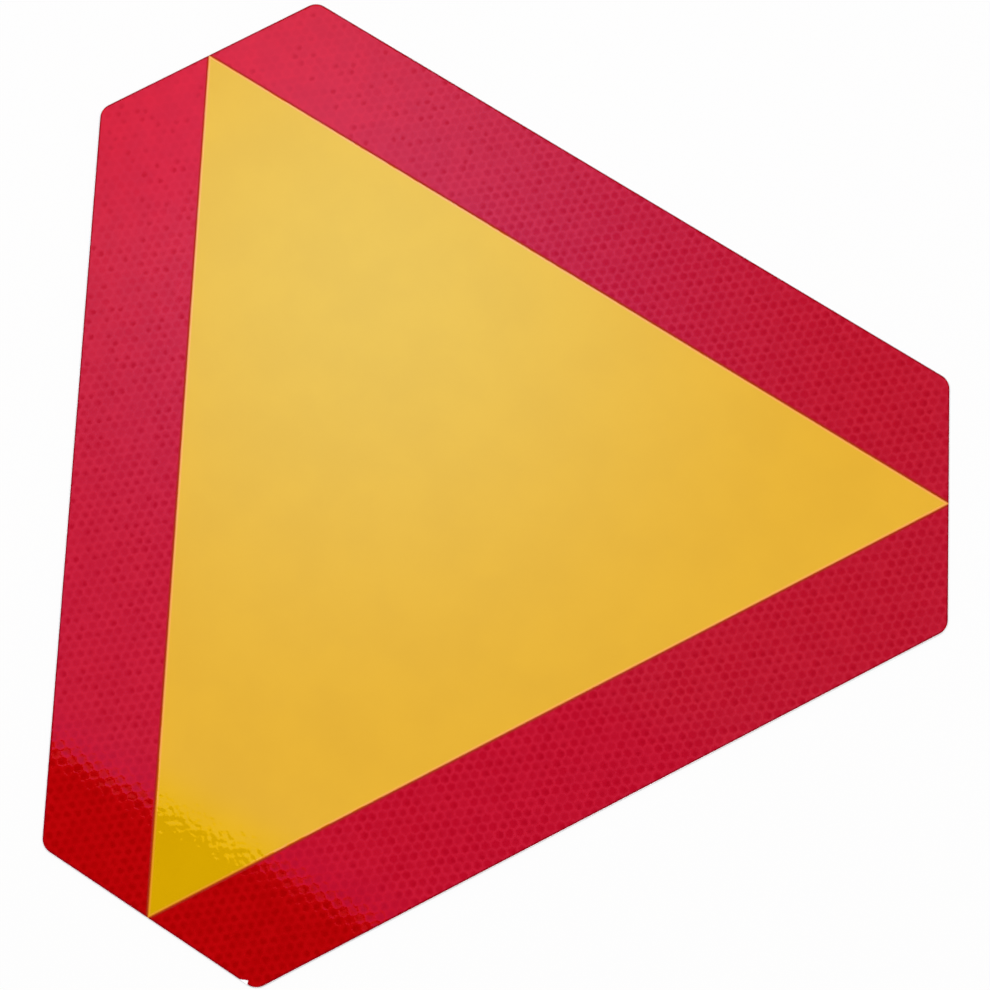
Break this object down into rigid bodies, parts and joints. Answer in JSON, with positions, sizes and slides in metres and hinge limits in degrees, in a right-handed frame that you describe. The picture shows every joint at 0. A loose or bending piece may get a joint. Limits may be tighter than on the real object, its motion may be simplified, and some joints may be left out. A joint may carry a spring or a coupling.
{
  "type": "rear marking board",
  "caption": "Flat triangular marking board for the rear of a slow vehicle or trailer, yellow reflective film inside a red honeycomb border on a metal plate.",
  "frame": {"origin": "middle of the triangle, on the plate's back face", "axes": "+Z out of the front, the way the films face; +Y towards the corner that is uppermost on a vehicle; the board lies on its back"},
  "size_m": [0.4148, 0.3611, 0.0019],
  "materials": {
    "bare_plate": "plain rolled sheet",
    "yellow_reflective": "glossy film with a faint ripple",
    "red_reflective": "glossy film over honeycomb cells"
  },
  "bodies": {
    "root": {"backing_plate": "bare_plate", "yellow_film": "yellow_reflective", "red_film_bottom": "red_reflective", "red_film_left": "red_reflective", "red_film_right": "red_reflective"}
  },
  "joints": []
}
